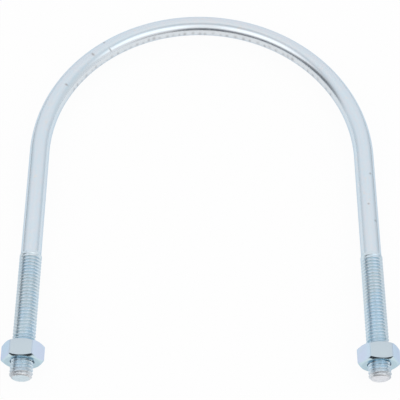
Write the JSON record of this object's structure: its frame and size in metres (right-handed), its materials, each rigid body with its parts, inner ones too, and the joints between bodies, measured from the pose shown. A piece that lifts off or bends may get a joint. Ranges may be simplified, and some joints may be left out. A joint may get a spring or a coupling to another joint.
{
  "type": "u-bolt",
  "caption": "Zinc-plated round u-bolt with a half-circle bend for clamping a pipe, threaded legs and plain hexagon nuts.",
  "frame": {"origin": "centre of the half-circle bend, in the rod's middle plane, so it is on the axis of the pipe that the bolt holds", "axes": "+X from the left leg to the right leg, +Y from the leg tips towards the bend, +Z along the pipe's axis; the bolt lies flat with one flat of each nut facing down (-Z)"},
  "size_m": [0.137, 0.1556, 0.013],
  "materials": {
    "zinc_rod": "bright zinc plate on drawn steel rod, slightly blue",
    "zinc_nut": "bright zinc plate on steel nuts, slightly blue"
  },
  "bodies": {
    "u_rod": {"u_rod": "zinc_rod"},
    "left_nut": {"left_nut": "zinc_nut"},
    "right_nut": {"right_nut": "zinc_nut"}
  },
  "joints": [
    {"name": "left_nut_travel", "type": "slide", "parent": "u_rod", "child": "left_nut", "axis": [0, 1, 0], "range_m": [-0.015, 0.0325]},
    {"name": "right_nut_travel", "type": "slide", "parent": "u_rod", "child": "right_nut", "axis": [0, 1, 0], "range_m": [-0.015, 0.0325]}
  ]
}
